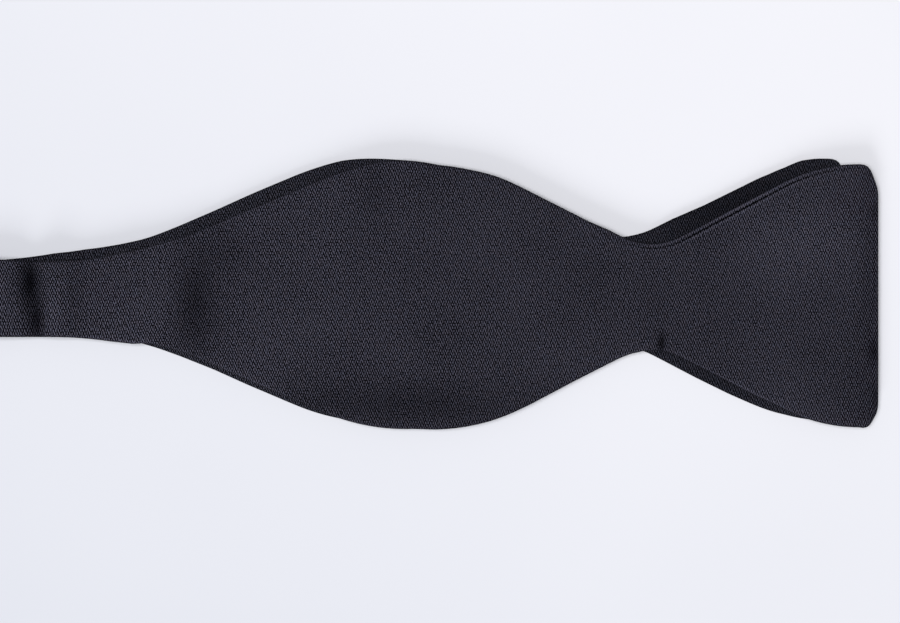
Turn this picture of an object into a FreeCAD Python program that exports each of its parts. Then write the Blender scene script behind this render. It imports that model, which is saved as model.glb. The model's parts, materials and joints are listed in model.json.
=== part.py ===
import FreeCAD, Part
import math
import os
import Sketcher

# A self-tie bow tie, folded in two at the clasp in the middle of its neckband, so that its two
# butterfly blades lie one on the other.  X runs along the tie with the blades at +X and the clasp
# at -X, and the underside of the lower half lies on Z = 0.  Sizes are millimetres and degrees.

doc = FreeCAD.newDocument("bow_tie")
sheet = doc.addObject("Spreadsheet::Sheet", "Sizes")

SIZES = [
    ("half_length", 428, "clasp to the end of the upper blade"),
    ("lower_short", 7, "how much shorter the lower half is set"),
    ("sideways", 0.7, "how far each half lies off the middle line"),
    ("cloth", 0.4, "one layer of silk, or of interlining"),
    ("band_half", 9.2, "half the width of the neckband"),
    ("neck_back", 185, "where the blade starts to widen, from its end"),
    ("neck_round", 100, "radius of the hollow there"),
    ("crown_back", 126.9, "first corner of the blade's full width"),
    ("crown_half", 33.6, "half width at that corner"),
    ("crown_round", 51, "radius of that corner"),
    ("shoulder_back", 99.2, "second corner of the full width"),
    ("shoulder_half", 32.4, "half width at that corner"),
    ("shoulder_round", 54, "radius of that corner"),
    ("waist_back", 56.6, "the waist that the knot grips"),
    ("waist_half", 10.8, "half width where its two slopes would meet"),
    ("waist_round", 16.5, "radius of the waist"),
    ("flare_back", 15.1, "where the end reaches its full width"),
    ("end_half", 32.7, "half width of the end"),
    ("end_round", 40, "radius there"),
    ("corner_back", 2.4, "length of the end's turned corner"),
    ("corner_half", 26.5, "half the straight edge of the end"),
    ("corner_round", 1.2, "radius of the turned corner"),
    ("thread_inset", 0.8, "seam thread to the finished edge"),
    ("thread_wide", 0.3, "width of the seam thread"),
    ("lining_inset", 1.4, "interlining to the finished edge"),
    ("blade_gap", 0.4, "space between the two blades"),
    ("join_back", 212, "where the neckband meets the upper blade"),
    ("join_gap", 0.15, "space at that join"),
    ("wire", 0.8, "radius of the eye's wire"),
    ("fit", 0.1, "running space round a bar"),
    ("link", 7.6, "between the two bars of the eye, and of the hook"),
    ("tilt", 20, "how far eye and hook slope at rest"),
    ("eye_half", 11, "half the width of the eye, to the wire's middle"),
    ("eye_round", 2, "radius of the eye's corners"),
    ("stub", 3, "straight start of a turned loop"),
    ("ramp", 10, "where a turned end comes back to the band"),
    ("turned", 22, "length of a turned end"),
    ("plate", 0.8, "thickness of the hook's plate"),
    ("bar_wide", 1.2, "width of the hook's strap bar"),
    ("bar_reach", 0.85, "radius inside the strap's loop on that bar"),
    ("band_thick", 0.9, "thickness of the sliding neckband"),
    ("tongue_half", 4, "half the width of the hook's tongue"),
    ("hook_half", 11, "half the width of the hook's frame"),
    ("slot_half", 9.7, "half the width of its slot"),
    ("slider_back", 75, "slider to the hook's strap bar"),
    ("rod", 0.6, "radius of the slider's bars"),
    ("rod_reach", 4.8, "middle bar to a side bar"),
    ("rail_in", 9.6, "inner face of a slider rail"),
    ("rail_wide", 1.4, "thickness of a slider rail"),
    ("pass_gap", 0.15, "space round the band in the slider"),
    ("tail", 12, "length of the sewn end at the slider"),
    ("tack_half", 7, "half the length of a bar tack"),
    ("tack_wide", 1.2, "width of a bar tack"),
    ("tack_high", 0.2, "how far a bar tack stands up"),
    ("label_back", 150, "care label to the clasp"),
    ("label_long", 30, "length of the care label"),
    ("label_half", 6, "half its width"),
    ("label_thick", 0.25, "its thickness"),
    ("stitch_back", 155, "closing stitches to the clasp"),
    ("stitch_long", 2.2, "length of one closing stitch"),
    ("stitch_thick", 0.25, "thickness of that thread"),
    ("stitch_count", 12, "closing stitches in the row"),
    ("stitch_step", 4, "from one closing stitch to the next"),
]
for row, (name, value, meaning) in enumerate(SIZES, 1):
    sheet.set(f"A{row}", name)
    sheet.set(f"B{row}", str(value))
    sheet.setAlias(f"B{row}", name)
    sheet.set(f"C{row}", meaning)
doc.recompute()

# Places worked out from the sizes above, written once as expressions.
LENGTH = "(half_length + wire + fit + plate)"
CLASP_X = f"(wire + fit + plate - {LENGTH} / 2)"
UPPER_END = f"({LENGTH} / 2)"
LOWER_END = f"({UPPER_END} - lower_short)"
LOOP_X = f"({CLASP_X} + link * cos(tilt))"
PLY = "(3 * cloth)"
EYE_Z = f"(wire + fit + {PLY})"
CLASP_Z = f"({EYE_Z} + link * sin(tilt))"
BAND_Z = f"({EYE_Z} + 2 * link * sin(tilt))"
BLADE_Z = f"({PLY} + blade_gap)"
BAND_RUN = f"({UPPER_END} - join_back - join_gap - {LOOP_X})"
BAND_TOP = "(bar_reach + band_thick / 2)"
BAND_DROP = f"({BAND_Z} + {BAND_TOP} - {BLADE_Z} - {PLY} / 2)"
BAND_TILT = f"atan({BAND_DROP} / {BAND_RUN})"
PIECES = []


def bound(expression):
    """The expression with every size read from the sheet."""
    words = {name for name, value, meaning in SIZES}
    out, word = "", ""
    for letter in expression + " ":
        if letter.isalnum() or letter == "_":
            word += letter
            continue
        out += ("Sizes." + word if word in words else word) + letter
        word = ""
    return out.strip()


def new_piece(name):
    """A sub-part of its own, whose label names its file."""
    piece = doc.addObject("PartDesign::Body", name)
    piece.Label = name
    piece.AllowCompound = True
    PIECES.append(piece)
    return piece


def place(piece, x="0", y="0", z="0", tilt=None):
    """Put a piece at x, y, z, turned about its own Y axis by a tilt."""
    if tilt:
        turn = FreeCAD.Rotation(FreeCAD.Vector(0, 1, 0), 1)
        piece.Placement = FreeCAD.Placement(FreeCAD.Vector(), turn)
        piece.setExpression(".Placement.Rotation.Angle", bound(tilt))
    for axis, where in zip("xyz", (x, y, z)):
        piece.setExpression(f".Placement.Base.{axis}", bound(where))


def new_sketch(body, name, role):
    """A sketch on one of the body's own origin planes."""
    sketch = body.newObject("Sketcher::SketchObject", name)
    plane = next(f for f in body.Origin.OriginFeatures if f.Role == role)
    sketch.AttachmentSupport = [(plane, "")]
    sketch.MapMode = "FlatFace"
    return sketch


def number(owner, expression):
    """The value of an expression in plain millimetres."""
    value = owner.evalExpression(bound(expression))
    return getattr(value, "Value", value)


def measure(sketch, kind, places, expression):
    """Add one dimension and bind it to the sheet."""
    size = Sketcher.Constraint(kind, *places, number(sketch, expression))
    index = sketch.addConstraint(size)
    sketch.renameConstraint(index, f"size_{index}")
    sketch.setExpression(f"Constraints.size_{index}", bound(expression))


def draw_corners(sketch, corners):
    """A closed outline through corners (x, y, radius), each radius None for a sharp corner."""
    points = [FreeCAD.Vector(number(sketch, x), number(sketch, y), 0) for x, y, radius in corners]
    first = len(sketch.Geometry)
    count = len(points)
    for i in range(count):
        sketch.addGeometry(Part.LineSegment(points[i], points[(i + 1) % count]), False)
    for i in range(count):
        follow = first + (i + 1) % count
        sketch.addConstraint(Sketcher.Constraint("Coincident", first + i, 2, follow, 1))
    for i, (x, y, radius) in enumerate(corners):
        measure(sketch, "DistanceX", (-1, 1, first + i, 1), x)
        measure(sketch, "DistanceY", (-1, 1, first + i, 1), y)
    for i, (x, y, radius) in enumerate(corners):
        if radius:
            arc = len(sketch.Geometry)
            sketch.fillet(first + i, 1, number(sketch, radius), True, True)
            measure(sketch, "Radius", (arc,), radius)


def draw_turned(sketch, nodes, side=-1):
    """A closed side profile through nodes (x, y, radius): a radius makes the edge that leaves
    the node an arc about the bar at the origin, round its -X side, or its +X side for side 1."""
    points = [FreeCAD.Vector(number(sketch, x), number(sketch, y), 0) for x, y, radius in nodes]
    count = len(points)
    arcs = [i for i in range(count) if nodes[i][2]]
    leaves = {i: 1 for i in range(count)}
    for i, (x, y, radius) in enumerate(nodes):
        start, end = points[i], points[(i + 1) % count]
        if i not in arcs:
            sketch.addGeometry(Part.LineSegment(start, end), False)
            continue
        if (end.y - start.y) * side < 0:
            leaves[i] = 2
            start, end = end, start
        circle = Part.Circle(FreeCAD.Vector(), FreeCAD.Vector(0, 0, 1), number(sketch, radius))
        turn = [math.atan2(point.y, point.x) for point in (start, end)]
        sketch.addGeometry(Part.ArcOfCircle(circle, *turn), False)
    for i in range(count):
        follow = (i + 1) % count
        reach = 3 - leaves[i]
        sketch.addConstraint(Sketcher.Constraint("Coincident", i, reach, follow, leaves[follow]))
    for i in arcs:
        sketch.addConstraint(Sketcher.Constraint("Coincident", i, 3, -1, 1))
        measure(sketch, "Radius", (i,), nodes[i][2])
    for i, (x, y, radius) in enumerate(nodes):
        measure(sketch, "DistanceX", (-1, 1, i, leaves[i]), x)
        if i not in arcs and (i - 1) % count not in arcs:
            measure(sketch, "DistanceY", (-1, 1, i, leaves[i]), y)


def pad(body, sketch, length, symmetric=False):
    """Give a sketch its thickness."""
    feature = body.newObject("PartDesign::Pad", sketch.Name + "_pad")
    feature.Profile = sketch
    feature.Length = number(sketch, length)
    if symmetric:
        feature.SideType = "Symmetric"
    feature.setExpression("Length", bound(length))
    return feature


def box_corners(x0, x1, half):
    """A rectangle from x0 to x1, as wide as half each side of the middle line."""
    return [(x0, f"-{half}", None), (x1, f"-{half}", None), (x1, half, None), (x0, half, None)]


def flat_piece(name, corners, thick, x, y, z, tilt=None):
    """A flat piece cut to an outline."""
    body = new_piece(name)
    sketch = new_sketch(body, name + "_outline", "XY_Plane")
    draw_corners(sketch, corners)
    pad(body, sketch, thick)
    place(body, x, y, z, tilt)
    return body, sketch


def tie_outline(reach, inset):
    """Half of the tie from its end at X = 0 back to reach, drawn inset from the finished edge."""
    edge = [
        (f"-{reach}", "band_half", None),
        ("-neck_back", "band_half", "neck_round"),
        ("-crown_back", "crown_half", "crown_round"),
        ("-shoulder_back", "shoulder_half", "shoulder_round"),
        ("-waist_back", "waist_half", "waist_round"),
        ("-flare_back", "end_half", "end_round"),
        (f"-corner_back - {inset}", "end_half", "corner_round"),
        (f"-{inset}", "corner_half", None),
    ]
    left = [(x, f"({y} - {inset})", radius) for x, y, radius in edge]
    right = [(x, f"-{y}", radius) for x, y, radius in reversed(left)]
    return left + right


# --- The blades.  Each half of the tie is a silk face and a silk back, sewn together inside out
# round an interlining and then turned, so that only the rolled edge shows.
def sewn_half(side, end_x, y, reach, face_z, lining_z, back_z):
    for layer, z in (("face_panel", face_z), ("back_panel", back_z)):
        flat_piece(f"{side}_{layer}", tie_outline(reach, "0"), "cloth", end_x, y, z)
    lining_reach = f"({reach} - lining_inset)"
    lining = tie_outline(lining_reach, "lining_inset")
    flat_piece(f"{side}_interlining", lining, "cloth", end_x, y, lining_z)
    thread_reach = f"({reach} - thread_inset)"
    thread = tie_outline(thread_reach, "thread_inset")
    body, sketch = flat_piece(f"{side}_seam_thread", thread, "cloth", end_x, y, lining_z)
    inner_reach = f"({reach} - thread_inset - thread_wide)"
    draw_corners(sketch, tie_outline(inner_reach, "(thread_inset + thread_wide)"))


LOWER_REACH = f"({LOWER_END} - {LOOP_X} - stub)"
sewn_half("lower", LOWER_END, "sideways", LOWER_REACH, "0", "cloth", "(2 * cloth)")
sewn_half("upper", UPPER_END, "-sideways", "join_back", f"({BLADE_Z} + 2 * cloth)",
          f"({BLADE_Z} + cloth)", BLADE_Z)


# --- The eye: one rounded oblong of wire, closed.  Its near bar is sewn into the lower half's
# turned end and its far bar takes the hook.
eye = new_piece("eye")
eye_path = new_sketch(eye, "eye_path", "XY_Plane")
draw_corners(eye_path, [
    ("0", "0", None),
    ("0", "eye_half", "eye_round"),
    ("-link", "eye_half", "eye_round"),
    ("-link", "-eye_half", "eye_round"),
    ("0", "-eye_half", "eye_round"),
])
eye_wire = new_sketch(eye, "eye_wire", "XZ_Plane")
eye_wire.addGeometry(Part.Circle(FreeCAD.Vector(), FreeCAD.Vector(0, 0, 1), 1), False)
eye_wire.addConstraint(Sketcher.Constraint("Coincident", 0, 3, -1, 1))
measure(eye_wire, "Radius", (0,), "wire")
eye_pipe = eye.newObject("PartDesign::AdditivePipe", "eye_pipe")
eye_pipe.Profile = eye_wire
eye_pipe.Spine = (eye_path, [])
place(eye, LOOP_X, "sideways", EYE_Z, "tilt")


def turned_end(name, inner, thick, low, ramp, end, stub):
    """A band folded back round a bar at the origin: outer layer below, turned end above."""
    outer = f"({inner} + {thick})"
    body = new_piece(name)
    sketch = new_sketch(body, name + "_side", "XZ_Plane")
    draw_turned(sketch, [
        (stub, f"-{outer}", None),
        ("0", f"-{outer}", outer),
        ("0", outer, None),
        (ramp, f"({low} + {thick})", None),
        (end, f"({low} + {thick})", None),
        (end, low, None),
        (ramp, low, None),
        ("0", inner, inner),
        ("0", f"-{inner}", None),
        (stub, f"-{inner}", None),
    ])
    pad(body, sketch, "(2 * band_half)", symmetric=True)
    return body


def bar_tack(name, x, y, z, tilt=None):
    """A short dense row of zigzag stitches across the band."""
    corners = box_corners("-tack_wide / 2", "tack_wide / 2", "tack_half")
    return flat_piece(name, corners, "tack_high", x, y, z, tilt)


# --- The lower half's turned end, which holds the eye, and the tack that sews it down.
eye_loop = turned_end("eye_loop", "(wire + fit)", PLY, "-(wire + fit)", "ramp", "turned", "stub")
place(eye_loop, LOOP_X, "sideways", EYE_Z)
bar_tack("eye_tack", f"({LOOP_X} + (ramp + turned) / 2)", "sideways", f"(2 * {PLY})")

# --- The care label, sewn flat to the inner side of the lower half by a row at each end.
LABEL_X = f"({CLASP_X} + label_back)"
label = box_corners("0", "label_long", "label_half")
flat_piece("care_label", label, "label_thick", LABEL_X, "sideways", PLY)
sewing = new_piece("label_stitches")
sewing_sketch = new_sketch(sewing, "label_rows", "XY_Plane")
draw_corners(sewing_sketch, box_corners("1", "(1 + stitch_thick)", "(label_half - 1)"))
end_row = box_corners("(label_long - 1 - stitch_thick)", "(label_long - 1)", "(label_half - 1)")
draw_corners(sewing_sketch, end_row)
pad(sewing, sewing_sketch, "stitch_thick")
place(sewing, LABEL_X, "sideways", f"({PLY} + label_thick)")

# --- The hand stitches that close the gap which the lower half was turned through.
closing = new_piece("closing_stitches")
stitch_sketch = new_sketch(closing, "stitch_outline", "XY_Plane")
draw_corners(stitch_sketch, [
    ("0", "-stitch_thick", None),
    ("stitch_long", "-stitch_thick", None),
    ("stitch_long", "0", None),
    ("0", "0", None),
])
stitch_pad = pad(closing, stitch_sketch, "cloth")
doc.recompute()
stitch_row = closing.newObject("PartDesign::LinearPattern", "stitch_row")
stitch_row.Originals = [stitch_pad]
stitch_row.Direction = (stitch_sketch, ["H_Axis"])
stitch_row.Occurrences = int(number(closing, "stitch_count"))
stitch_row.Length = number(closing, "(stitch_count - 1) * stitch_step")
stitch_row.setExpression("Length", bound("(stitch_count - 1) * stitch_step"))
closing.Tip = stitch_row
place(closing, f"({CLASP_X} + stitch_back)", "(sideways - band_half)", "cloth")

# --- The hook: pressed from plate.  Its tongue curls round the far bar of the eye, and the
# neckband turns round its strap bar.
CURL_IN = "(wire + fit)"
CURL_OUT = "(wire + fit + plate)"
hook = new_piece("hook")
tongue = new_sketch(hook, "tongue_side", "XZ_Plane")
draw_turned(tongue, [
    (f"({CURL_OUT} / 2)", f"-{CURL_OUT} * cos(30)", CURL_OUT),
    (f"({CURL_OUT} * sin(20))", f"({CURL_OUT} * cos(20))", None),
    ("(link / 2 + 0.4)", "(plate / 2)", None),
    ("(link / 2 + 1)", "(plate / 2)", None),
    ("(link / 2 + 1)", "-plate / 2", None),
    ("(link / 2)", "-plate / 2", None),
    (f"({CURL_IN} * sin(20))", f"({CURL_IN} * cos(20))", CURL_IN),
    (f"({CURL_IN} / 2)", f"-{CURL_IN} * cos(30)", None),
])
pad(hook, tongue, "(2 * tongue_half)", symmetric=True)
frame_sketch = new_sketch(hook, "hook_frame", "XY_Plane")
FRAME_IN = "(link / 2 + 0.2)"
FRAME_OUT = "(link + bar_wide / 2)"
draw_corners(frame_sketch, [
    (x, y, "bar_wide") for x, y, radius in box_corners(FRAME_IN, FRAME_OUT, "hook_half")
])
SLOT_IN = "(link - bar_reach - band_thick - 0.25)"
draw_corners(frame_sketch, box_corners(SLOT_IN, "(link - bar_wide / 2)", "slot_half"))
frame_pad = pad(hook, frame_sketch, "plate", symmetric=True)
place(hook, CLASP_X, "-sideways", CLASP_Z, "-tilt")

# --- The sliding neckband of the upper half.  It comes from the blade, turns round the hook's
# strap bar and runs back below itself to the slider.  All of it is built along its own slope.
RUN_LENGTH = f"sqrt({BAND_RUN}^2 + {BAND_DROP}^2)"


def on_band(piece, along="0", above="0"):
    """Place a piece built about the strap bar's axis, moved along and above the sloping band."""
    x = f"({LOOP_X} + ({along}) * cos({BAND_TILT}) + ({above}) * sin({BAND_TILT}))"
    z = f"({BAND_Z} - ({along}) * sin({BAND_TILT}) + ({above}) * cos({BAND_TILT}))"
    place(piece, x, "-sideways", z, BAND_TILT)


LAYER_OUT = "(bar_reach + band_thick)"
hook_loop = new_piece("hook_loop")
hook_side = new_sketch(hook_loop, "hook_loop_side", "XZ_Plane")
draw_turned(hook_side, [
    ("stub", f"-{LAYER_OUT}", None),
    ("0", f"-{LAYER_OUT}", LAYER_OUT),
    ("0", LAYER_OUT, None),
    ("stub", LAYER_OUT, None),
    ("stub", "bar_reach", None),
    ("0", "bar_reach", "bar_reach"),
    ("0", "-bar_reach", None),
    ("stub", "-bar_reach", None),
])
pad(hook_loop, hook_side, "(2 * band_half)", symmetric=True)
on_band(hook_loop)


def band_run(name, corners):
    """A straight run of neckband with the given side profile."""
    body = new_piece(name)
    sketch = new_sketch(body, name + "_side", "XZ_Plane")
    draw_corners(sketch, corners)
    pad(body, sketch, "(2 * band_half)", symmetric=True)
    on_band(body)
    return body


band_run("band_outer_run", [
    ("stub", "bar_reach", None),
    (RUN_LENGTH, "bar_reach", None),
    (RUN_LENGTH, LAYER_OUT, None),
    ("stub", LAYER_OUT, None),
])
ROD_Z = f"(bar_reach - pass_gap - band_thick - fit - rod)"
TAIL_IN = "(rod + fit)"
TAIL_OUT = "(rod + fit + band_thick)"
band_run("band_return_run", [
    ("stub", f"-{LAYER_OUT}", None),
    ("(slider_back - tail)", f"({ROD_Z} - {TAIL_OUT})", None),
    ("(slider_back - tail)", f"({ROD_Z} - {TAIL_IN})", None),
    ("stub", "-bar_reach", None),
])

# --- The slider: two bowed rails joined by two side bars above the neckband and a middle bar
# below it.  The end of the neckband is turned round the middle bar and tacked to itself.
slider = new_piece("slider")
rail_side = new_sketch(slider, "rail_side", "XZ_Plane")
TOP_Z = f"({LAYER_OUT} + pass_gap + rod)"
draw_corners(rail_side, [
    ("-(rod_reach + rod)", f"({TOP_Z} - rod)", None),
    ("-rod", f"({ROD_Z} - rod)", "rod"),
    ("rod", f"({ROD_Z} - rod)", "rod"),
    ("(rod_reach + rod)", f"({TOP_Z} - rod)", None),
    ("(rod_reach + rod)", f"({TOP_Z} + rod)", "rod"),
    ("-(rod_reach + rod)", f"({TOP_Z} + rod)", "rod"),
])
pad(slider, rail_side, "(2 * (rail_in + rail_wide))", symmetric=True)
gap_side = new_sketch(slider, "gap_side", "XZ_Plane")
gap = "(rod_reach + 2 * rod)"
draw_corners(gap_side, [
    (f"-{gap}", f"({ROD_Z} - 2 * rod)", None),
    (gap, f"({ROD_Z} - 2 * rod)", None),
    (gap, f"({TOP_Z} + 2 * rod)", None),
    (f"-{gap}", f"({TOP_Z} + 2 * rod)", None),
])
gap_cut = slider.newObject("PartDesign::Pocket", "gap_cut")
gap_cut.Profile = gap_side
gap_cut.SideType = "Symmetric"
gap_cut.Length = number(gap_side, "(2 * rail_in)")
gap_cut.setExpression("Length", bound("(2 * rail_in)"))
rod_side = new_sketch(slider, "rod_side", "XZ_Plane")
for i, (x, z) in enumerate((("-rod_reach", TOP_Z), ("rod_reach", TOP_Z), ("0", ROD_Z))):
    centre = FreeCAD.Vector(number(rod_side, x), number(rod_side, z), 0)
    rod_side.addGeometry(Part.Circle(centre, FreeCAD.Vector(0, 0, 1), 1), False)
    measure(rod_side, "Radius", (i,), "rod")
    measure(rod_side, "DistanceX", (-1, 1, i, 3), x)
    measure(rod_side, "DistanceY", (-1, 1, i, 3), z)
pad(slider, rod_side, "(2 * (rail_in + rail_wide / 2))", symmetric=True)
on_band(slider, "slider_back")

slider_loop = new_piece("slider_loop")
loop_side = new_sketch(slider_loop, "slider_loop_side", "XZ_Plane")
draw_turned(loop_side, [
    ("-tail", f"-{TAIL_OUT}", None),
    ("0", f"-{TAIL_OUT}", TAIL_OUT),
    ("0", TAIL_OUT, None),
    ("-(tail - 2)", TAIL_OUT, None),
    ("-(tail - 2)", TAIL_IN, None),
    ("0", TAIL_IN, TAIL_IN),
    ("0", f"-{TAIL_IN}", None),
    ("-tail", f"-{TAIL_IN}", None),
], side=1)
pad(slider_loop, loop_side, "(2 * band_half)", symmetric=True)
on_band(slider_loop, "slider_back", ROD_Z)
tack = box_corners("-tack_wide / 2", "tack_wide / 2", "tack_half")
slider_tack, tack_sketch = flat_piece("slider_tack", tack, "tack_high", "0", "0", "0")
on_band(slider_tack, "(slider_back - tail / 2)", f"({ROD_Z} - {TAIL_OUT} - tack_high)")


# --- Every feature is sound, and each sub-part is one file.
doc.recompute()
faults = [thing.Name for thing in doc.Objects if {"Invalid", "Error"} & set(thing.State)]
if faults:
    raise RuntimeError(f"features that failed: {faults}")
os.makedirs("parts", exist_ok=True)
for piece in PIECES:
    shape = piece.Shape
    if shape.isNull() or not shape.isValid() or shape.Volume <= 0:
        raise RuntimeError(f"{piece.Label} has no sound solid")
    shape.exportStep(f"parts/{piece.Label}.step")
    box = shape.BoundBox
    print(f"{piece.Label:18s} {len(shape.Solids):3d} solid {shape.Volume:9.1f} mm3  "
          f"x {box.XMin:8.2f} {box.XMax:8.2f}  y {box.YMin:7.2f} {box.YMax:7.2f}  "
          f"z {box.ZMin:6.2f} {box.ZMax:6.2f}")
places = {"clasp_x": CLASP_X, "loop_x": LOOP_X, "eye_z": EYE_Z, "clasp_z": CLASP_Z,
          "band_z": BAND_Z, "band_tilt": BAND_TILT, "lower_end": LOWER_END}
print({name: round(number(slider, where), 5) for name, where in places.items()})
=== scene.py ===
import json
import math

import bpy
import numpy as np
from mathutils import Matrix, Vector, noise
from mathutils.geometry import delaunay_2d_cdt


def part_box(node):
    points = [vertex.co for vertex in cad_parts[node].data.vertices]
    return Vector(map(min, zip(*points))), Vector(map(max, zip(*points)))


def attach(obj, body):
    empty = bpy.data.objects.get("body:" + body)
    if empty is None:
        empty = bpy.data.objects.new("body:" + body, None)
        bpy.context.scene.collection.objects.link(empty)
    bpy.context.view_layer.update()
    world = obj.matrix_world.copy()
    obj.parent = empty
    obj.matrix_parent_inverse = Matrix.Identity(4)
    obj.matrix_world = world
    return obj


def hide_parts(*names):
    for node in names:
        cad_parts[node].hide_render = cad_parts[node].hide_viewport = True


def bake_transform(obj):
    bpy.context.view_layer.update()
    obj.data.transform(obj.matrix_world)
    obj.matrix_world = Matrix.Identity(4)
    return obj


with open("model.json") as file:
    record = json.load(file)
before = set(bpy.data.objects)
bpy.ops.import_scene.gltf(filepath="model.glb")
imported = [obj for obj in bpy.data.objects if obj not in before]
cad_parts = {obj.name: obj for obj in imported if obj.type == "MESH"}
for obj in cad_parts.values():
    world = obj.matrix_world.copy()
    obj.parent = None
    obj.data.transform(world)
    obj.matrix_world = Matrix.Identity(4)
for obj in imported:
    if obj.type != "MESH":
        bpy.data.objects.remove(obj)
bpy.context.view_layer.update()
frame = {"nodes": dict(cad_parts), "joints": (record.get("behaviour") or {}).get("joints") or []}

mm = 0.001


# The tie lies on a smooth white card.  It is seen from straight above, with the blades filling
# the view and the neckband running out of it to the left.
class Shade:
    """One socket of a material, so that sums on sockets can be written as plain sums."""

    def __init__(self, tree, socket):
        self.tree = tree
        self.socket = socket

    def node(self, kind, settings=None, **values):
        """A node of the given type: its settings first, then its sockets' values or links."""
        made = self.tree.nodes.new(kind)
        for name, value in (settings or {}).items():
            setattr(made, name, value)
        for name, value in values.items():
            spot = int(name[1:]) if name[0] == "_" and name[1:].isdigit() else name.replace("_", " ")
            socket = made.inputs[spot]
            if isinstance(value, Shade):
                self.tree.links.new(value.socket, socket)
            else:
                socket.default_value = value
        return made

    def out(self, made, name=0):
        return Shade(self.tree, made.outputs[name])

    def sum(self, operation, *values):
        numbered = {f"_{i}": value for i, value in enumerate(values)}
        return self.out(self.node("ShaderNodeMath", {"operation": operation}, **numbered))

    def __add__(self, other):
        return self.sum("ADD", self, other)

    def __radd__(self, other):
        return self.sum("ADD", other, self)

    def __sub__(self, other):
        return self.sum("SUBTRACT", self, other)

    def __rsub__(self, other):
        return self.sum("SUBTRACT", other, self)

    def __mul__(self, other):
        return self.sum("MULTIPLY", self, other)

    def __rmul__(self, other):
        return self.sum("MULTIPLY", other, self)

    def __truediv__(self, other):
        return self.sum("DIVIDE", self, other)

    def wave(self):
        """A smooth wave from -1 to 1 that repeats once for each unit."""
        return self.sum("COSINE", self * math.tau)

    def bell(self, at, wide):
        """1 where this is at the given value, and falling to nothing away from it."""
        off = (self - at) / wide
        return self.sum("EXPONENT", off * off * -1.0)

    def held(self):
        """Kept between 0 and 1."""
        return self.sum("MAXIMUM", self.sum("MINIMUM", self, 1.0), 0.0)

    def axis(self, letter):
        """One axis of a place."""
        return self.out(self.node("ShaderNodeSeparateXYZ", None, Vector=self), letter)


def finish_of(name, rough, metallic=0.0, specular=0.5):
    """A material with its surface shader: gives the material, the shader and a first socket."""
    material = bpy.data.materials.new(name)
    material.use_nodes = True
    tree = material.node_tree
    surface = tree.nodes["Principled BSDF"]
    surface.inputs["Roughness"].default_value = rough
    surface.inputs["Metallic"].default_value = metallic
    surface.inputs["Specular IOR Level"].default_value = specular
    return material, surface, Shade(tree, surface.inputs["Roughness"])


def feed(surface, name, shade):
    shade.tree.links.new(shade.socket, surface.inputs[name])


def tinted(shade, dark, light, amount):
    """A colour between two, by amount.  Each is given as numbers or is itself a mixed colour."""
    mixed = shade.node("ShaderNodeMix", {"data_type": "RGBA"})
    for side, colour in (("A", dark), ("B", light)):
        if isinstance(colour, Shade):
            shade.tree.links.new(colour.socket, mixed.inputs[side])
        else:
            mixed.inputs[side].default_value = (*colour, 1)
    shade.tree.links.new(amount.socket, mixed.inputs["Factor"])
    return Shade(shade.tree, mixed.outputs["Result"])


def speckle(shade, coordinates, scale, detail=2.0):
    made = shade.node("ShaderNodeTexNoise", None, Vector=coordinates, Scale=scale, Detail=detail)
    return shade.out(made, "Fac")


upper_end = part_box("upper_face_panel")[1].x
upper_y = sum(corner.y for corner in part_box("upper_face_panel")) / 2
VIEW_WIDE = 223.3 * mm
view_middle = Vector((upper_end - 106.2 * mm, upper_y - 3.85 * mm, 3 * mm))
LENS = 85
eye_data = bpy.data.cameras.new("view")
eye_data.lens = LENS
eye_data.sensor_width = 36
camera = bpy.data.objects.new("view", eye_data)
camera.location = view_middle + Vector((0, 0, VIEW_WIDE * LENS / eye_data.sensor_width))
bpy.context.scene.collection.objects.link(camera)
bpy.context.scene.camera = camera
bpy.context.scene.view_settings.view_transform = "Standard"

card, card_surface, shade = finish_of("white_card", 0.7, specular=0.3)
place = shade.out(shade.node("ShaderNodeTexCoord"), "Object")
cloud = speckle(shade, place, 9.0)
# The card is painted darker towards the lower left and lighter towards the upper right, with a faint
# cloud: painted light fall-off.
lighter = (place.axis("X") - 0.10) * 2.6 + (place.axis("Y") + 0.01) * 3.2 + cloud * 0.3
feed(card_surface, "Base Color",
     tinted(shade, (0.755, 0.775, 0.835), (0.945, 0.95, 0.995), (lighter + 0.35).held()))
CARD_HALF = 8.0
CARD_GAP = 0.05 * mm
corners = [(x * CARD_HALF, y * CARD_HALF, 0) for x, y in ((-1, -1), (1, -1), (1, 1), (-1, 1))]
floor_mesh = bpy.data.meshes.new("table")
floor_mesh.from_pydata(corners, [], [(0, 1, 2, 3)])
floor = bpy.data.objects.new("table", floor_mesh)
floor.location.z = -CARD_GAP
floor_mesh.materials.append(card)
bpy.context.scene.collection.objects.link(floor)


def softbox(name, at, size, power, tint):
    """A square soft light that faces the tie."""
    data = bpy.data.lights.new(name, "AREA")
    data.size = size
    data.energy = power
    data.color = tint
    lamp = bpy.data.objects.new(name, data)
    lamp.location = at
    aim = Vector((view_middle.x, view_middle.y, 0)) - lamp.location
    lamp.rotation_euler = aim.to_track_quat("-Z", "Y").to_euler()
    bpy.context.scene.collection.objects.link(lamp)


softbox("ceiling", (-0.3, 0.0, 2.2), 1.0, 37.0, (1.0, 0.993, 1.0))
softbox("window", (-0.35, -2.0, 1.1), 0.9, 20.0, (0.99, 0.99, 1.0))
world = bpy.data.worlds.new("room_light")
world.use_nodes = True
world.node_tree.nodes["Background"].inputs["Color"].default_value = (0.93, 0.95, 1.0, 1)
world.node_tree.nodes["Background"].inputs["Strength"].default_value = 0.15
bpy.context.scene.world = world


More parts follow.
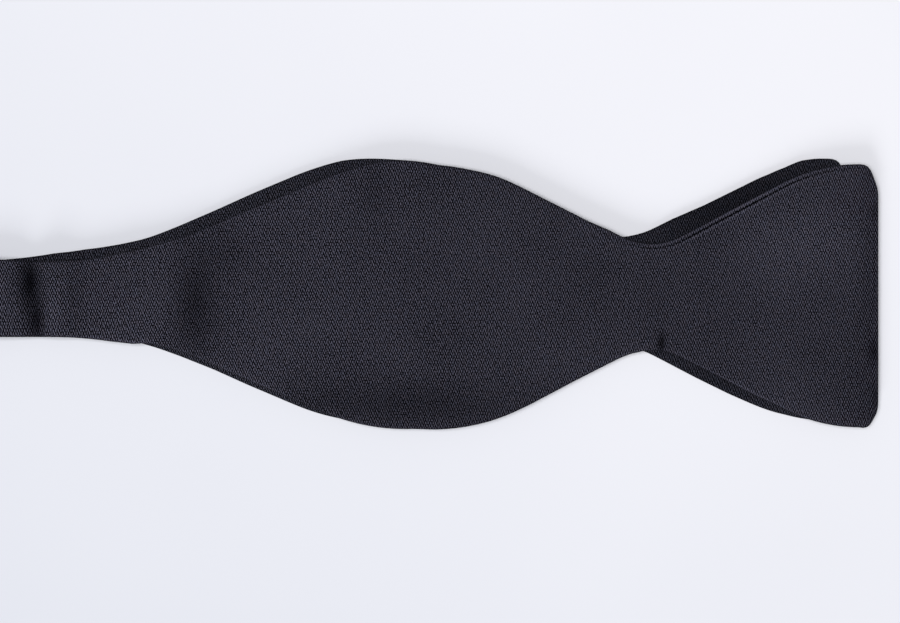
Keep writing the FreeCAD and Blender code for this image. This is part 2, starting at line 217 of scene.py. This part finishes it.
# Each half of the tie is cut from black silk barathea as one long strip that swells into the
# blade.  The strip's edge is read from the cut panel, and the narrow band goes on past it to
# the end that is turned round the clasp.
ROLL = 0.85 * mm
BAND_ROLL = 0.6 * mm
EDGE_STEP = 1.1 * mm
FINE_STEP = 0.4 * mm
BLADE_LONG = 185 * mm
NO_BLADE = -1.0     # puts the neck a metre past the strip's end, so that all of it is band


def panel_edge(node, tail):
    """Places along a cut panel, from the tail of its band, and its half width there."""
    points = np.array([v.co[:2] for v in frame["nodes"][node].data.vertices], float)
    middle = (points[:, 1].min() + points[:, 1].max()) / 2
    along = np.round(points[:, 0], 6)
    stations = np.unique(along)
    width = np.array([(points[along == x, 1] - middle).max() for x in stations])
    keep = stations > stations[0] + 2 * mm
    return (np.concatenate([[tail], stations[keep]]),
            np.concatenate([[width[0]], width[keep]]))


def evenly(points, step):
    """A closed line through points, divided evenly."""
    loop = np.vstack([points, points[:1]])
    run = np.concatenate([[0], np.cumsum(np.linalg.norm(np.diff(loop, axis=0), axis=1))])
    count = int(run[-1] / step)
    at = np.linspace(0, run[-1], count, endpoint=False)
    return np.stack([np.interp(at, run, loop[:, k]) for k in range(2)], axis=1)


def eased(low, high, value):
    t = np.clip((value - low) / (high - low), 0, 1)
    return t * t * (3 - 2 * t)


def outward(loop):
    """The outward direction at each point of a closed line that runs anticlockwise."""
    ahead = np.roll(loop, -2, axis=0) - np.roll(loop, 2, axis=0)
    side = np.stack([ahead[:, 1], -ahead[:, 0]], axis=1)
    return side / np.linalg.norm(side, axis=1)[:, None]


class Strip:
    """One strip of the tie: its cut edge, how it lies, how thick its band is, whether it faces
    up, the stretch that turns tightly round a bar, and the length of its blade."""

    # Where handling has eased each edge off its cut line: mm along, and mm across.
    top_edge = bottom_edge = ()

    def __init__(self, edge, lay, middle_y, thin, up=1, tight=(0, 0), blade=BLADE_LONG):
        self.stations, self.width = edge
        self.tail, self.end = self.stations[0], self.stations[-1]
        self.neck = self.end - blade
        self.lay = lay
        self.middle_y = middle_y
        self.thin = thin
        self.up = up
        lower = np.stack([self.stations, -self.width], axis=1)
        self.loop = evenly(np.vstack([lower, lower[::-1] * (1, -1)]), EDGE_STEP)
        for turn in range(2):
            near = (np.roll(self.loop, 1, axis=0) + np.roll(self.loop, -1, axis=0)) / 2
            self.loop = 0.5 * self.loop + 0.5 * near
        self.tight = tight
        for split in range(2):
            middle = (self.loop + np.roll(self.loop, -1, axis=0)) / 2
            spots = np.flatnonzero((middle[:, 0] > tight[0]) & (middle[:, 0] < tight[1]))
            self.loop = np.insert(self.loop, spots + 1, middle[spots], axis=0)
        self.out = outward(self.loop)
        for turn in range(8):
            beside = np.roll(self.out, 1, axis=0) + np.roll(self.out, -1, axis=0)
            self.out = (beside + 2 * self.out) / 4
        self.fine = evenly(self.loop, FINE_STEP)

    def warp(self, flat):
        """How far the cloth is lifted off its bed."""
        return np.zeros(len(flat))

    def sway(self, s):
        """How far the band strays sideways."""
        return np.zeros(len(s))

    def stray(self, flat):
        """How far each edge lies off its cut line, where handling has eased the cloth along."""
        s, v = flat[:, 0], flat[:, 1]
        reach = np.clip(np.abs(v) / self.half_width(s), 0, 1.1) ** 2
        shift = np.zeros(len(s))
        for edge, upward in ((self.top_edge, v > 0), (self.bottom_edge, v <= 0)):
            if edge:
                at, far = zip(*edge)
                shift += np.interp(s / mm, at, far) * mm * reach * upward
        return shift

    def half_width(self, s):
        return np.interp(s, self.stations, self.width)

    def depth(self, points):
        """How far inside the finished edge each point is."""
        best = np.full(len(points), 1.0)
        for part in np.array_split(self.fine, 40):
            gap = np.linalg.norm(points[:, None, :] - part[None, :, :], axis=2).min(axis=1)
            best = np.minimum(best, gap)
        inside = (np.abs(points[:, 1]) < self.half_width(points[:, 0])) & (points[:, 0] < self.end)
        return np.where(inside, best, -best)

    def inner_points(self, from_edge, spacing):
        """Evenly staggered points inside the edge."""
        rows = []
        high = self.width.max()
        for k, v in enumerate(np.arange(-high, high, spacing * 0.866)):
            s = np.arange(self.tail, self.end, spacing) + (k % 2) * spacing / 2
            s = s[(s < self.tight[0]) | (s > self.tight[1])]
            fine = np.arange(*self.tight, FINE_STEP) + (k % 2) * FINE_STEP / 2
            s = np.concatenate([s, fine])
            rows.append(np.stack([s, np.full(len(s), v)], axis=1))
        points = np.vstack(rows)
        return points[self.depth(points) > from_edge]


def strip_mesh(name, strip, rings, spacing):
    """The mesh of one layer of a strip: rings go round its edge from the seam inwards, each
    (angle round the rolled edge, depth inside the edge), and the rest is filled inside them."""
    flat, angle, depth = [], [], []
    loop, out = strip.loop, strip.out
    count = len(loop)
    for turn, inset in rings:
        flat.append(loop - out * inset)
        angle.append(np.full(count, turn))
        depth.append(np.full(count, inset))
    last = rings[-1][1]
    inner = strip.inner_points(last + spacing * 0.6, spacing)
    rim = (len(rings) - 1) * count
    points = np.vstack([flat[-1], inner])
    edges = [(i, (i + 1) % count) for i in range(count)]
    made = delaunay_2d_cdt([Vector(p) for p in points], edges, [], 1, 1e-7)
    if len(made[0]) != len(points):
        raise RuntimeError(f"{name}: the cut edge crosses itself")
    order = [source[0] for source in made[3]]
    flat = np.vstack(flat + [inner])
    angle = np.concatenate(angle + [np.full(len(inner), math.pi / 2)])
    depth = np.concatenate(depth + [strip.depth(inner)])
    faces = []
    for ring in range(len(rings) - 1):
        for i in range(count):
            a, b = ring * count + i, ring * count + (i + 1) % count
            faces.append((a, b, b + count, a + count))
    faces += [tuple(rim + order[i] for i in face) for face in made[2]]
    return flat, angle, depth, faces


def lay_out(name, strip, flat, faces, offset, uv_points, flip, depth=None):
    """Lay a flat piece along its strip at the given heights, and keep its flat place as UVs."""
    x, z, nx, nz = strip.lay(flat[:, 0])
    rise = strip.warp(flat)
    across = strip.middle_y + flat[:, 1] + strip.sway(flat[:, 0]) + strip.stray(flat)
    place = np.stack([x + nx * offset, across, z + nz * offset + rise], axis=1)
    mesh = bpy.data.meshes.new(name)
    if flip:
        faces = [face[::-1] for face in faces]
    mesh.from_pydata(place.tolist(), [], faces)
    layer = mesh.uv_layers.new(name="cut")
    corners = np.zeros(len(mesh.loops), np.int32)
    mesh.loops.foreach_get("vertex_index", corners)
    layer.data.foreach_set("uv", uv_points[corners].ravel().astype(np.float32))
    if depth is not None:
        layer = mesh.uv_layers.new(name="edge")
        inside = np.stack([depth, flat[:, 0]], axis=1)
        layer.data.foreach_set("uv", inside[corners].ravel().astype(np.float32))
    mesh.polygons.foreach_set("use_smooth", np.ones(len(mesh.polygons), bool))
    mesh.update()
    piece = bpy.data.objects.new(name, mesh)
    bpy.context.scene.collection.objects.link(piece)
    return piece


def thicken(piece, thick, offset=-1.0):
    """Give a cloth its thickness, and keep it in the mesh."""
    change = piece.modifiers.new("thickness", "SOLIDIFY")
    change.thickness = thick
    change.offset = offset
    change.use_even_offset = False
    graph = bpy.context.evaluated_depsgraph_get()
    graph.update()
    mesh = bpy.data.meshes.new_from_object(piece.evaluated_get(graph))
    piece.modifiers.clear()
    piece.data = mesh
    return piece


SEAM_AT = math.radians(-22)
SEAM_DIP = 0.10 * mm
FACE_TURNS = [-22, -10, 4, 18, 32, 46, 60, 75, 90]
BACK_TURNS = [-22, -36, -50, -64, -78, -90]
SILK_THICK = 0.2 * mm


def roll_at(strip, s):
    """How far the rolled edge is from the middle of the cloth: full in the blade, less in the
    band."""
    blade = eased(strip.neck - 55 * mm, strip.neck + 20 * mm, s)
    return strip.thin + (ROLL - strip.thin) * blade


def silk_panel(name, strip, side, swell, spacing=1.9 * mm):
    """The face or the back of a strip, from the seam round the rolled edge and across."""
    turns = FACE_TURNS if side > 0 else BACK_TURNS
    upright = math.pi / 2 * side
    rings = [(math.radians(t), ROLL * (1 - math.cos(math.radians(t)))) for t in turns]
    rings += [(upright, ROLL + 0.6 * mm), (upright, ROLL + 1.5 * mm)]
    flat, angle, depth, faces = strip_mesh(name, strip, rings, spacing)
    first = len(strip.loop) * len(turns)
    angle[first:] = upright
    offset = roll_at(strip, flat[:, 0]) * np.sin(angle) + side * swell(strip, flat, depth)
    repeat = np.tile(strip.out, (len(turns), 1))
    around = ROLL * np.abs(angle[:first] - upright)
    uv = flat.copy()
    uv[:first] += repeat * (around - ROLL + depth[:first])[:, None]
    flat[:first] -= repeat * (SEAM_DIP * np.exp(-((angle[:first] - SEAM_AT) / 0.16) ** 2))[:, None]
    piece = lay_out(name, strip, flat, faces, offset, uv, side * strip.up < 0, depth)
    return thicken(piece, SILK_THICK)


def ripple(points, size, seed):
    """Gentle unevenness, always the same for the same seed."""
    return np.array([noise.noise(Vector((p[0] / size, p[1] / size, seed))) for p in points])


def blade_swell(strip, flat, depth):
    """The light fullness of the sewn blade inside its rolled edge, with the seam allowance's
    slight ridge."""
    full = 0.30 * mm * (1 - np.exp(-np.clip(depth - ROLL, 0, None) / (4 * mm)))
    ridge = 0.12 * mm * np.exp(-((depth - 2.6 * mm) / (1.3 * mm)) ** 2)
    uneven = 0.16 * mm * ripple(flat, 26 * mm, strip.seed) + 0.05 * mm * ripple(flat, 7 * mm, 5)
    blade = eased(strip.neck - 20 * mm, strip.neck + 25 * mm, flat[:, 0])
    return (full + ridge + uneven * eased(0.8 * mm, 4 * mm, depth)) * (0.15 + 0.85 * blade)


def flat_swell(strip, flat, depth):
    return np.zeros(len(flat))


def lay_band(s, bar, turn, out, ramp, drop):
    """Where a band lies that comes from +X, passes the bar on one side, goes round it and comes
    back: x, z and the direction of its face.  Out is 1 when the straight run is above the bar."""
    past = bar[0] - s
    angle = np.clip(past, 0, math.pi * turn) / turn
    back = np.clip(past - math.pi * turn, 0, None)
    x = bar[0] + np.clip(-past, 0, None) - turn * np.sin(angle) + back
    z = bar[1] + out * turn * np.cos(angle) + out * drop * eased(0, ramp, back)
    return x, z, -np.sin(angle), out * np.cos(angle)


def stands_for(piece, body, slot, *nodes):
    """Attach a piece to the body it moves with, or fix it where it lies when it is given a stretch
    between bodies, and hide the plain parts it replaces.  The slot, what it is made of, is not used.
    """
    if isinstance(body, str):
        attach(piece, body)
    else:
        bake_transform(piece)
    if nodes:
        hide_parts(*nodes)
    return piece


def made_of(piece, material):
    piece.data.materials.clear()
    piece.data.materials.append(material)


def clothed(piece, material):
    """Put a material on a piece of cloth."""
    made_of(piece, material)


# Black silk barathea: a fine broken rib, woven so that its small floats stand in steep slanting
# rows, with a soft sheen.  The dye is a very slightly blue black.
RIB = 0.605         # millimetres, as are all lengths in this material
FLOAT = 1.38
BLACK = (0.0004, 0.0004, 0.001)


def barathea(name, dark, light, worn=(), seam=0.0, painted_highlights=()):
    """Barathea between two shades of black, with a list of soft places painted lighter or darker as
    painted highlight and painted shade, how deeply the pressed line inside the top edge shows, and
    where a painted highlight runs along the rolled edge."""
    material, surface, shade = finish_of(name, 0.5, specular=0.012)
    surface.inputs["Sheen Weight"].default_value = 0.006
    surface.inputs["Sheen Roughness"].default_value = 0.4
    surface.inputs["Sheen Tint"].default_value = (0.85, 0.88, 1.0, 1)
    cut = shade.out(shade.node("ShaderNodeUVMap", {"uv_map": "cut"}))
    along, aside = cut.axis("X") / mm, cut.axis("Y") / mm
    wander = speckle(shade, cut, 160.0) - 0.5
    u, v = along + wander * 0.3, aside + wander * 0.3
    floats = (u / RIB + v / FLOAT).wave() * 0.55 + (u / RIB - v / (FLOAT * 1.06)).wave() * 0.45
    rows = (u / (2 * RIB) + v / FLOAT).wave() * 0.14
    fuzz = speckle(shade, cut, 2600.0, 3.0) - 0.5
    broken = speckle(shade, cut, 1100.0) - 0.5
    height = (floats + rows) * (1.0 + broken * 1.4) + fuzz * 3.2
    patch = speckle(shade, cut, 45.0) - 0.5
    # Near the neck the weave is painted with more contrast and a little darker: the weave itself,
    # with painted highlight on its floats.
    neck = along.bell(20, 70)
    amount = height * (neck * 0.46 + 0.6) + patch * 0.22 + 0.185 - neck * 0.08
    edge = shade.out(shade.node("ShaderNodeUVMap", {"uv_map": "edge"}))
    inside = edge.axis("X") / mm
    # Painted highlight: a thin lighter line just inside the rolled edge, at the places listed.
    for at, wide in painted_highlights:
        amount = amount + inside.bell(0.32, 0.2) * along.bell(at, wide) * (patch + 0.3)
    # The pressed line inside the top edge: its groove is painted darker as painted shade and its two
    # sides lighter as painted highlight, and the groove is pressed into the bump as well.
    if seam:
        where = along.bell(180, 21) * aside.sum("GREATER_THAN", aside, 0.0)
        line = inside.bell(1.15, 0.2) * where * seam
        ridge = (inside.bell(1.75, 0.3) + inside.bell(0.55, 0.3)) * where * seam
        amount = amount - line * 0.6 + ridge * 0.25
        height = height - line * 3.0
    # Painted shade: the outermost edge is darkened where the rolled edge turns under.
    amount = amount.held() * (1.0 - inside.bell(0.0, 0.3) * 0.6)
    # Painted shade and painted highlight in the soft places listed.
    for at, high, wide, tall, change in worn:
        spot = along.bell(at, wide) * aside.bell(high, tall)
        amount = amount * (1.0 + spot * change)
    warm = tuple(share * tint for share, tint in zip(light, (1.04, 1.0, 0.97)))
    cool = tuple(share * tint for share, tint in zip(light, (0.96, 1.0, 1.03)))
    yarn = tinted(shade, cool, warm, ((speckle(shade, cut, 700.0) - 0.5) * 3.0 + 0.5).held())
    feed(surface, "Base Color", tinted(shade, dark, yarn, amount.held()))
    feed(surface, "Roughness", 0.7 - amount * 0.2)
    bump = shade.node("ShaderNodeBump", None, Height=height, Distance=0.12 * mm, Strength=0.8)
    feed(surface, "Normal", shade.out(bump))
    return material


# Painted light and shade in soft places: darker in the neck's valleys, at the waist's crease and
# along the edges, lighter on the neck's ridges and across the flare.  Each: mm along, mm across,
# its reach along and across, and how much lighter.
PAINTED_LIGHT_AND_SHADE = [
    (-3.0, 1.8, 1.7, 3.2, 0.5),
    (4.6, 3.6, 2.6, 7.5, -0.92),
    (6.2, -5.8, 2.3, 5.5, -0.8),
    (10.9, -4.0, 1.9, 4.0, 0.5),
    (11.5, 2.0, 2.2, 4.0, 0.15),
    (16.0, -1.0, 2.2, 9.0, -0.2),
    (45.5, -2.0, 5.0, 13.0, -0.55),
    (53.0, 10.0, 6.0, 6.0, -0.25),
    (98.0, -27.0, 34.0, 6.0, -0.4),
    (90.0, 24.0, 3.5, 9.0, -0.2),
    (161.0, -11.5, 1.0, 2.6, -0.8),
    (159.5, -4.0, 4.0, 8.0, -0.12),
    (198.0, 14.0, 14.0, 9.0, 0.5),
    (212.5, 0.0, 3.0, 40.0, -0.2),
    (213.6, -13.6, 1.4, 2.4, -0.6),
    (214.0, -24.0, 1.1, 2.4, -0.45),
    (214.0, 21.0, 1.2, 2.0, -0.4),
]
# Painted shade on the lower half's edges that show beside the upper one, where the upper half shades
# them; each as above.
SHADED = [
    (180.0, 24.0, 26.0, 12.0, -0.45),
    (175.0, -24.0, 26.0, 12.0, -0.2),
]
# Painted highlights just inside the upper half's rolled edge, each: mm along and its reach along.
PAINTED_RIM_HIGHLIGHTS = ((48, 34), (175, 18))
silk = barathea("black_barathea", BLACK, (0.130, 0.127, 0.174), PAINTED_LIGHT_AND_SHADE, 1.0, PAINTED_RIM_HIGHLIGHTS)
# The lower half and the band's hidden layers get a darker copy of the silk: painted shade for cloth
# that lies under the upper half.
shaded_silk = barathea("black_barathea_shaded", BLACK, (0.09, 0.09, 0.122), SHADED)

# Inside each half lies one layer of brushed wool and cotton interlining.  It is cut smaller than
# the silk, so that it stops short of the rolled edge, and it keeps the blade flat.
LINING_INSET = 1.4 * mm
LINING_THICK = 0.3 * mm


def cloth_layer(name, strip, inset, thick, spacing=3 * mm):
    """A flat layer that lies in the middle of a strip."""
    rings = [(0, inset), (0, inset + 0.8 * mm)]
    flat, angle, depth, faces = strip_mesh(name, strip, rings, spacing)
    piece = lay_out(name, strip, flat, faces, np.zeros(len(flat)), flat, strip.up < 0)
    return thicken(piece, thick, 0.0)


felt, felt_surface, shade = finish_of("brushed_interlining", 0.9, specular=0.2)
cut = shade.out(shade.node("ShaderNodeUVMap", {"uv_map": "cut"}))
fleece = speckle(shade, cut, 900.0, 4.0)
feed(felt_surface, "Base Color", tinted(shade, (0.05, 0.05, 0.055), (0.16, 0.16, 0.17), fleece))
feed(felt_surface, "Normal", shade.out(
    shade.node("ShaderNodeBump", None, Height=fleece, Distance=0.1 * mm, Strength=0.5)))


# The strips are sewn with black twisted thread: a running stitch beside the seam all the way
# round, and close bar tacks across the turned ends of the band.
PLY = 0.35 * mm
TACK_THICK = 0.26 * mm
thread, thread_surface, shade = finish_of("black_thread", 0.5, specular=0.4)
place = shade.out(shade.node("ShaderNodeTexCoord"), "Object")
ply = ((place.axis("X") + place.axis("Y")) / PLY).wave()
feed(thread_surface, "Base Color",
     tinted(shade, (0.004, 0.004, 0.005), (0.03, 0.03, 0.036), ply * 0.5 + 0.5))
feed(thread_surface, "Normal", shade.out(
    shade.node("ShaderNodeBump", None, Height=ply, Distance=0.03 * mm, Strength=0.5)))


def stitches(name, strip, starts, ends, thick, height=0.0):
    """Short rounded stitches of thread between places of the flat strip."""
    flat, offset, faces = [], [], []
    sides = 6
    for start, end in zip(starts, ends):
        base = len(flat)
        across = np.array([start[1] - end[1], end[0] - start[0]])
        across = across / np.linalg.norm(across) * thick / 2
        for t, fat in ((0, 0.35), (0.18, 1.0), (0.82, 1.0), (1, 0.35)):
            for k in range(sides):
                turn = math.tau * k / sides
                flat.append(start + (end - start) * t + across * fat * math.cos(turn))
                offset.append(height + thick / 2 * fat * math.sin(turn))
        for ring in range(3):
            for k in range(sides):
                a, b = base + ring * sides + k, base + ring * sides + (k + 1) % sides
                faces.append((a, b, b + sides, a + sides))
        faces.append(tuple(range(base + sides - 1, base - 1, -1)))
        faces.append(tuple(range(base + 3 * sides, base + 4 * sides)))
    flat = np.array(flat)
    piece = lay_out(name, strip, flat, faces, np.array(offset), flat, strip.up > 0)
    piece.data.materials.append(thread)
    return piece


def seam_thread(name, strip):
    """The running stitch just inside the seam, all the way round."""
    knots = evenly(strip.loop - strip.out * 0.8 * mm, 2.5 * mm)
    return stitches(name, strip, knots, knots + (np.roll(knots, -1, axis=0) - knots) * 0.8, 0.25 * mm)


def bar_tack(name, strip, at, height):
    """A close zigzag of thread straight across the band."""
    v = np.arange(-7 * mm, 7 * mm, 0.3 * mm)
    side = np.where(np.arange(len(v)) % 2, 0.6 * mm, -0.6 * mm)
    knots = np.stack([at + side, v], axis=1)
    return stitches(name, strip, knots[:-1], knots[1:], TACK_THICK, height)


# The lower half lies face down.  Its band runs to the eye, turns up round the near bar and is
# sewn down on itself.
joints = {joint["name"]: joint for joint in frame["joints"]}
eye_bar = (joints["eye_swivel"]["pos_m"][0], joints["eye_swivel"]["pos_m"][2])
eye_round = eye_bar[1] - BAND_ROLL
turned_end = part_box("eye_loop")[1].x - eye_bar[0]
lower_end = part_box("lower_face_panel")[1].x
lower_y = sum(corner.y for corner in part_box("lower_face_panel")) / 2
SETTLE_RUN = 10 * mm        # how soon a turned end comes down on its own band
BEND_EASE = 0.5 * mm
TACK_PROUD = 0.08 * mm
THICKENS_AT = 240 * mm      # back from the end, where the band starts to thicken to the blade
BLADE_FULL_AT = 165 * mm


def lay_lower(s):
    x, z, nx, nz = lay_band(s, eye_bar, eye_round, -1, SETTLE_RUN, 2 * (eye_round - BAND_ROLL))
    blade = eased(lower_end - THICKENS_AT, lower_end - BLADE_FULL_AT, s)
    return x, z + blade * (ROLL - BAND_ROLL), nx, nz


class LowerStrip(Strip):
    seed = 3.0
    top_edge = [(-20, 0), (-3, -0.6), (4, 0), (10, 0.55), (18, 0.5), (25, 0), (33, -0.6),
                (50, -0.65), (60, -0.4), (75, -0.4), (82, -0.1), (95, -0.4), (108, -0.5),
                (148, 0.3), (155, 0.5), (164, 0.25), (172, -0.5), (182, -0.85), (188, -0.95),
                (192, -0.6), (196, 0.2), (200, 0.25), (207, 0)]
    bottom_edge = [(22, 0), (29, 0.7), (50, 0.85), (58, 0.55), (80, 0.45), (88, 0.2), (110, 0),
                   (148, -0.8), (157, -1.15), (170, -1.1), (178, -0.8), (186, -0.1),
                   (192, 0.3), (207, 0.2)]

    def sway(self, s):
        """The band drifts back towards the upper one on its way to the clasp."""
        return -1.0 * mm * (1 - eased(-10 * mm, 60 * mm, s)) * eased(-180 * mm, -60 * mm, s)


eye_turned = eye_bar[0] - math.pi * eye_round
lower = LowerStrip(panel_edge("lower_face_panel", eye_turned - turned_end), lay_lower, lower_y,
                   BAND_ROLL, -1, (eye_turned - BEND_EASE, eye_bar[0] + BEND_EASE))

lower_face = silk_panel("lower_face", lower, 1, flat_swell)
lower_back = silk_panel("lower_back", lower, -1, blade_swell)
lower_lining = cloth_layer("lower_lining", lower, LINING_INSET, LINING_THICK)
clothed(lower_face, shaded_silk)
clothed(lower_back, shaded_silk)
clothed(lower_lining, felt)
stands_for(lower_face, "lower_half", "silk", "lower_face_panel", "eye_loop")
stands_for(lower_back, "lower_half", "silk", "lower_back_panel")
stands_for(lower_lining, "lower_half", "interlining", "lower_interlining")
stands_for(seam_thread("lower_seam", lower), "lower_half", "thread", "lower_seam_thread")
tack_x = sum(corner.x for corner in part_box("eye_tack")) / 2
tack_s = eye_turned - (tack_x - eye_bar[0])
stands_for(bar_tack("eye_zigzag", lower, tack_s, BAND_ROLL + TACK_PROUD), "lower_half", "thread",
           "eye_tack")


# The upper half lies face up on the lower one.  Its band is thinner, climbs to the hook, turns
# down round the hook's strap bar and stops where the loose return run begins.
hook_bar = (joints["hook_swivel"]["pos_m"][0], joints["hook_swivel"]["pos_m"][2])
run_x, _, run_z = joints["slider_slide"]["axis"]
UPPER_THIN = 0.45 * mm
HOOK_ROUND = 1.3 * mm
UPPER_BED = 3.25 * mm
SETTLE = 0.5 * mm
CLIMB = 60 * mm             # the band's last stretch, which climbs straight to the hook
LEAVES_HOOK = 3 * mm        # where the loop ends and the loose return run begins


def lay_upper(s):
    x, z, nx, nz = lay_band(s, hook_bar, HOOK_ROUND, 1, SETTLE_RUN, 0)
    line = z + np.clip(s - hook_bar[0], 0, None) * run_z / run_x
    bed = UPPER_BED + SETTLE * np.log1p(np.exp((line - UPPER_BED) / SETTLE))
    return x, np.where(s > hook_bar[0] + CLIMB, bed, line), nx, nz


# Waves of the neck, each: where along, how wide, how high, and how it leans.
NECK_WAVES = [
    (6 * mm, 16 * mm, 0.85 * mm, 0.0),
    (46 * mm, 14 * mm, 0.3 * mm, 0.0),
    (-5 * mm, 5.0 * mm, 0.9 * mm, 0.0),
    (4.9 * mm, 2.2 * mm, -1.15 * mm, -0.08),
    (10.8 * mm, 2.8 * mm, 0.75 * mm, -0.03),
    (16.5 * mm, 3.0 * mm, -0.2 * mm, 0.0),
    (27 * mm, 6.0 * mm, 0.35 * mm, 0.1),
    (46 * mm, 5.0 * mm, -0.45 * mm, 0.25),
]


class UpperStrip(Strip):
    seed = 11.0
    top_edge = [(-8, 0), (8, -0.6), (18, -0.5), (30, 0), (84, 0), (89, 0.5), (98, 0.5),
                (106, -0.3), (113, -0.3), (120, 0), (143, 0), (148, 0.4), (153, 0.3), (160, 0)]
    bottom_edge = [(-30, 0), (-12, -1.0), (19, -0.95), (25, -0.95), (30, -0.6), (34, 0.5),
                   (44, 0.8), (60, 0.4), (100, 0.1), (105, -0.3), (112, -0.6), (119, -0.85),
                   (129, -1.05), (140, -0.8), (155, -0.8), (160, -0.5), (185, -0.1),
                   (190, 0.3), (200, 0.2), (210, 0.1), (213, -0.5), (214.5, -1.6)]

    def warp(self, flat):
        """Waves pressed across the neck, fading towards the clasp."""
        s, v = flat[:, 0], flat[:, 1]
        lift = np.zeros(len(s))
        for at, wide, high, lean in NECK_WAVES:
            lift += high * np.exp(-((s - at - lean * v) / wide) ** 2)
        return lift


hook_turned = hook_bar[0] - math.pi * HOOK_ROUND
upper = UpperStrip(panel_edge("upper_face_panel", hook_turned - LEAVES_HOOK), lay_upper, upper_y,
                   UPPER_THIN, 1, (hook_turned - BEND_EASE, hook_bar[0] + BEND_EASE))
upper_face = silk_panel("upper_face", upper, 1, blade_swell)
upper_back = silk_panel("upper_back", upper, -1, flat_swell)
upper_lining = cloth_layer("upper_lining", upper, LINING_INSET, LINING_THICK)
upper_seam = seam_thread("upper_seam", upper)
clothed(upper_face, silk)
clothed(upper_back, shaded_silk)
clothed(upper_lining, felt)
GIVES_FROM, GIVES_TO = -110 * mm, 10 * mm
stretch = ("neckband", "upper_blade", (GIVES_FROM, 0, 0), (GIVES_TO, 0, 0))
stands_for(upper_face, stretch, "silk", "upper_face_panel", "band_outer_run", "hook_loop")
stands_for(upper_back, stretch, "silk", "upper_back_panel")
stands_for(upper_lining, stretch, "interlining", "upper_interlining")
stands_for(upper_seam, stretch, "thread", "upper_seam_thread")


# The neckband's end comes back from the hook to the slider, goes round its middle bar and is
# tacked to itself.
SLIDER_RUN = 75 * mm
NEARS_SLIDER = SLIDER_RUN - 12 * mm
OVERLAP = 1.6 * mm
ROD_DROP = 0.9 * mm
ROD_ROUND = 1.15 * mm
END_LONG = 10 * mm
SLIDER_TACK_AT = -6 * mm
RETURN_GIVES_TO = 60 * mm


def sloped(x, z):
    """A place beside the hook's bar, given along and above the sloping band."""
    return hook_bar[0] + x * run_x - z * run_z, hook_bar[1] + x * run_z + z * run_x


def lay_return(s):
    t = (s - LEAVES_HOOK) / (NEARS_SLIDER - LEAVES_HOOK)
    x, z = sloped(s, -HOOK_ROUND - t * (ROD_DROP + ROD_ROUND - HOOK_ROUND))
    return x, z, np.zeros(len(s)), np.full(len(s), -1.0)


def lay_slider_loop(s):
    angle = np.clip(s, 0, math.pi * ROD_ROUND) / ROD_ROUND
    back = np.clip(s - math.pi * ROD_ROUND, 0, None)
    x, z = sloped(SLIDER_RUN + np.clip(s, None, 0) + ROD_ROUND * np.sin(angle) - back,
                  -ROD_DROP - ROD_ROUND * np.cos(angle))
    return x, z, np.sin(angle), -np.cos(angle)


def plain_band(name, lay, start, stop, body, node, tight=(0, 0)):
    """The two layers of a plain stretch of band."""
    half = float(upper.width[0])
    edge = np.array([start, stop]), np.array([half, half])
    strip = Strip(edge, lay, upper_y, UPPER_THIN, -1, tight, NO_BLADE)
    for layer, side in (("outer", 1), ("inner", -1)):
        piece = silk_panel(f"{name}_{layer}", strip, side, flat_swell)
        clothed(piece, shaded_silk)
        stands_for(piece, body, "silk", *([node] if side > 0 else []))
    return strip


return_gives = ("neckband", "slider", (hook_bar[0] + LEAVES_HOOK, 0, 0),
                (hook_bar[0] + RETURN_GIVES_TO, 0, 0))
plain_band("band_return", lay_return, LEAVES_HOOK - OVERLAP, NEARS_SLIDER + OVERLAP, return_gives,
           "band_return_run")
rod_turned = math.pi * ROD_ROUND
band_end = plain_band("band_end", lay_slider_loop, NEARS_SLIDER - SLIDER_RUN, rod_turned + END_LONG,
                      "slider", "slider_loop", (-BEND_EASE, rod_turned + BEND_EASE))
stands_for(bar_tack("slider_zigzag", band_end, SLIDER_TACK_AT, UPPER_THIN + TACK_PROUD), "slider",
           "thread", "slider_tack")


# The eye, hook and slider are steel wire and plate, plated bright nickel and tumbled smooth.
nickel, nickel_surface, shade = finish_of("bright_nickel", 0.2, metallic=1.0)
place = shade.out(shade.node("ShaderNodeTexCoord"), "Object")
smear = speckle(shade, place, 300.0, 3.0)
feed(nickel_surface, "Base Color", tinted(shade, (0.52, 0.52, 0.53), (0.72, 0.71, 0.69), smear))
feed(nickel_surface, "Roughness", smear * 0.22 + 0.12)
scuff = speckle(shade, place, 2500.0, 2.0)
feed(nickel_surface, "Normal", shade.out(
    shade.node("ShaderNodeBump", None, Height=scuff, Distance=0.01 * mm, Strength=0.3)))
for node in ("eye", "hook", "slider"):
    made_of(frame["nodes"][node], nickel)


# The lower half was turned right side out through a gap, which is closed by hand with the same
# black thread.  The label is sewn on with it too.
for node in ("closing_stitches", "label_stitches"):
    made_of(frame["nodes"][node], thread)


# The care label is a blank piece of black woven satin.  It is sewn to the lower half and carries
# no print.
SATIN_LINE = 0.3 * mm
satin, satin_surface, shade = finish_of("label_satin", 0.4, specular=0.5)
place = shade.out(shade.node("ShaderNodeTexCoord"), "Object")
lines = (place.axis("Y") / SATIN_LINE).wave()
feed(satin_surface, "Base Color",
     tinted(shade, (0.02, 0.02, 0.024), (0.06, 0.06, 0.065), lines * 0.5 + 0.5))
made_of(frame["nodes"]["care_label"], satin)
